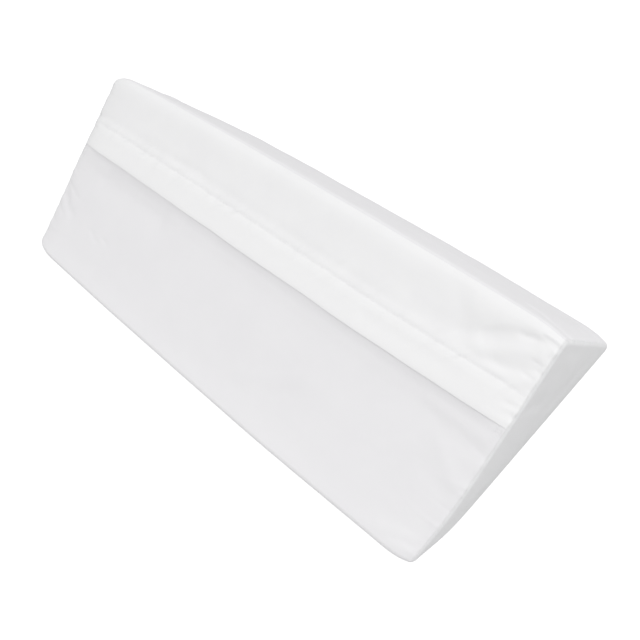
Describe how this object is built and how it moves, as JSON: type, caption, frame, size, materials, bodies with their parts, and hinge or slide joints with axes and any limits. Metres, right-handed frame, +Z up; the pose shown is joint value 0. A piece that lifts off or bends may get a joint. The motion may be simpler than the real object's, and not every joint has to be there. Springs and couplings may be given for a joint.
{
  "type": "pregnancy pillow",
  "caption": "Long triangular wedge cushion for side and bump support, in a fitted white cotton cover with an envelope flap.",
  "frame": {"origin": "on the floor, under the middle of the wedge's box", "axes": "+X along the length, +Z up through the ridge, -Y the side with the closing flap"},
  "size_m": [0.5128, 0.2856, 0.1426],
  "materials": {
    "cotton_wrap": "smooth white cotton, matt, stretched over the filling",
    "cotton_flap": "smooth white cotton, matt, lying loose with a turned hem",
    "cotton_end": "smooth white cotton, matt, overlocked at its seam"
  },
  "bodies": {
    "root": {"wedge_body": "cotton_wrap", "closure_flap": "cotton_flap", "end_panel_left": "cotton_end", "end_panel_right": "cotton_end"}
  },
  "joints": []
}
